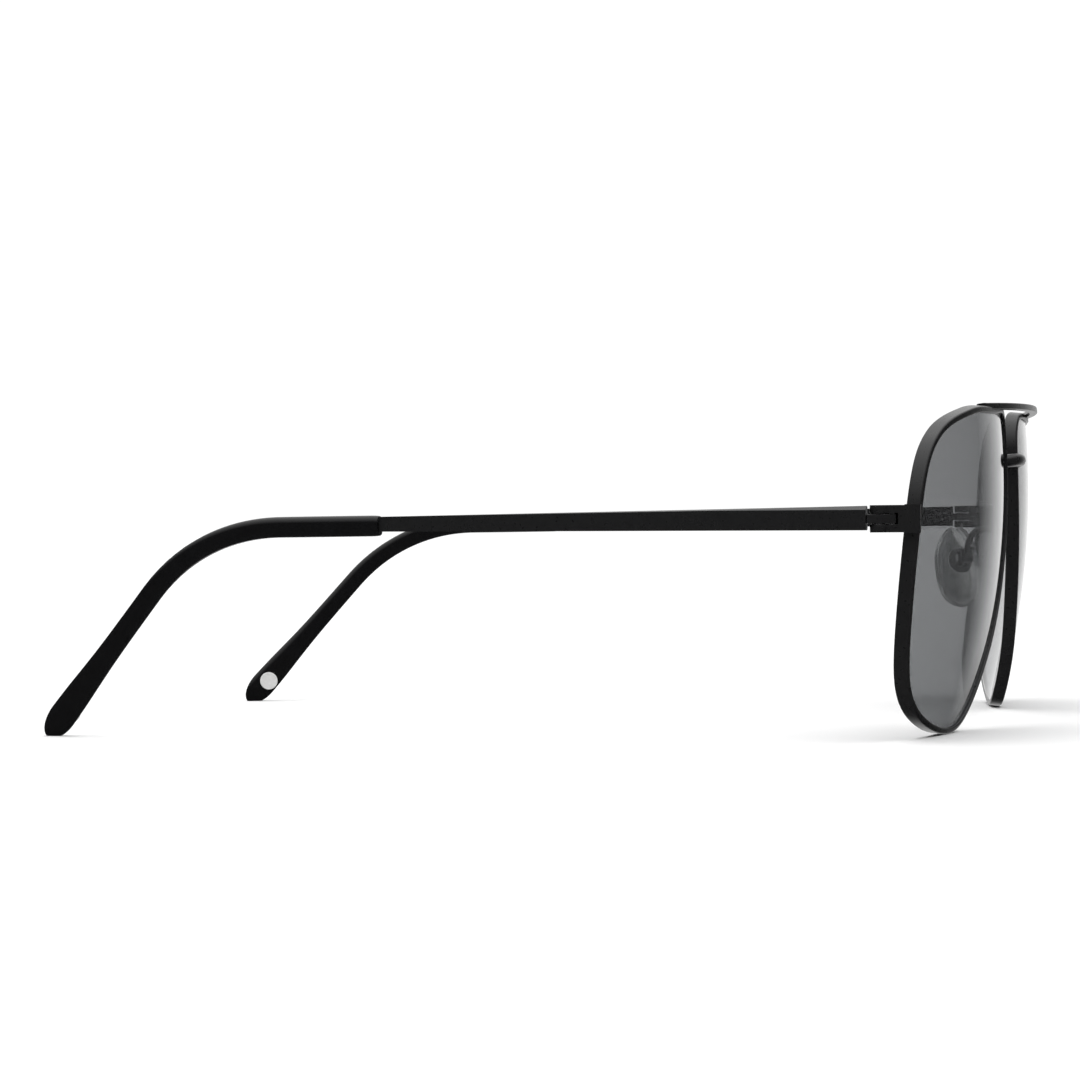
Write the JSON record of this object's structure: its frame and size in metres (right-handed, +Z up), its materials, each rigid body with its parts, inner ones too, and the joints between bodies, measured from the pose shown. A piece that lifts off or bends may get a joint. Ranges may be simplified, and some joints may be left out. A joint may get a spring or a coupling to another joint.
{
  "type": "aviator sunglasses",
  "caption": "Metal aviator sunglasses with smoke lenses, a brow bar over a bridge wire, temples that fold on screw hinges, sleeved ear tips and rocking nose pads.",
  "frame": {"origin": "middle of the bounding box on the table plane that the lens rims and temple tips stand on", "axes": "+Y from the lenses back along the open temples, +X towards the wearer's left, +Z up"},
  "size_m": [0.1344, 0.141, 0.048],
  "materials": {
    "frame_metal": "satin black coating",
    "bare_metal": "plain turned steel",
    "smoke_lens": "polished, smoke grey",
    "tip_plastic": "polished black",
    "pad_silicone": "clear and soft",
    "badge_plastic": "plain white inlay"
  },
  "bodies": {
    "front": {"top_bar": "frame_metal", "bridge": "frame_metal", "left_rim": "frame_metal", "right_rim": "frame_metal", "left_lens": "smoke_lens", "right_lens": "smoke_lens", "left_endpiece": "frame_metal", "right_endpiece": "frame_metal", "left_rim_lock": "frame_metal", "right_rim_lock": "frame_metal", "left_rim_screw": "bare_metal", "right_rim_screw": "bare_metal", "left_hinge_screw": "bare_metal", "right_hinge_screw": "bare_metal", "left_hinge_washers": "bare_metal", "right_hinge_washers": "bare_metal", "left_pad_arm": "frame_metal", "right_pad_arm": "frame_metal", "left_pad_box": "frame_metal", "right_pad_box": "frame_metal", "left_pad_screw": "bare_metal", "right_pad_screw": "bare_metal"},
    "left_arm": {"left_temple": "frame_metal", "left_temple_leaf": "frame_metal", "left_temple_tip": "tip_plastic", "left_tip_badge": "badge_plastic"},
    "left_pad": {"left_pad_core": "bare_metal", "left_nose_pad": "pad_silicone"},
    "right_arm": {"right_temple": "frame_metal", "right_temple_leaf": "frame_metal", "right_temple_tip": "tip_plastic", "right_tip_badge": "badge_plastic"},
    "right_pad": {"right_pad_core": "bare_metal", "right_nose_pad": "pad_silicone"}
  },
  "joints": [
    {"name": "left_temple_fold", "type": "hinge", "parent": "front", "child": "left_arm", "pos_m": [0.0657, -0.05471, 0.0309], "axis": [0, 0, 1], "range_deg": [0, 83]},
    {"name": "right_temple_fold", "type": "hinge", "parent": "front", "child": "right_arm", "pos_m": [-0.0657, -0.05471, 0.0309], "axis": [0, 0, -1], "range_deg": [0, 74]},
    {"name": "left_pad_rock", "type": "hinge", "parent": "front", "child": "left_pad", "pos_m": [0.01112, -0.0607, 0.02484], "axis": [0.4695, 0.8829, 0], "range_deg": [-8, 8]},
    {"name": "right_pad_rock", "type": "hinge", "parent": "front", "child": "right_pad", "pos_m": [-0.01112, -0.0607, 0.02484], "axis": [-0.4695, 0.8829, 0], "range_deg": [-8, 8]}
  ]
}
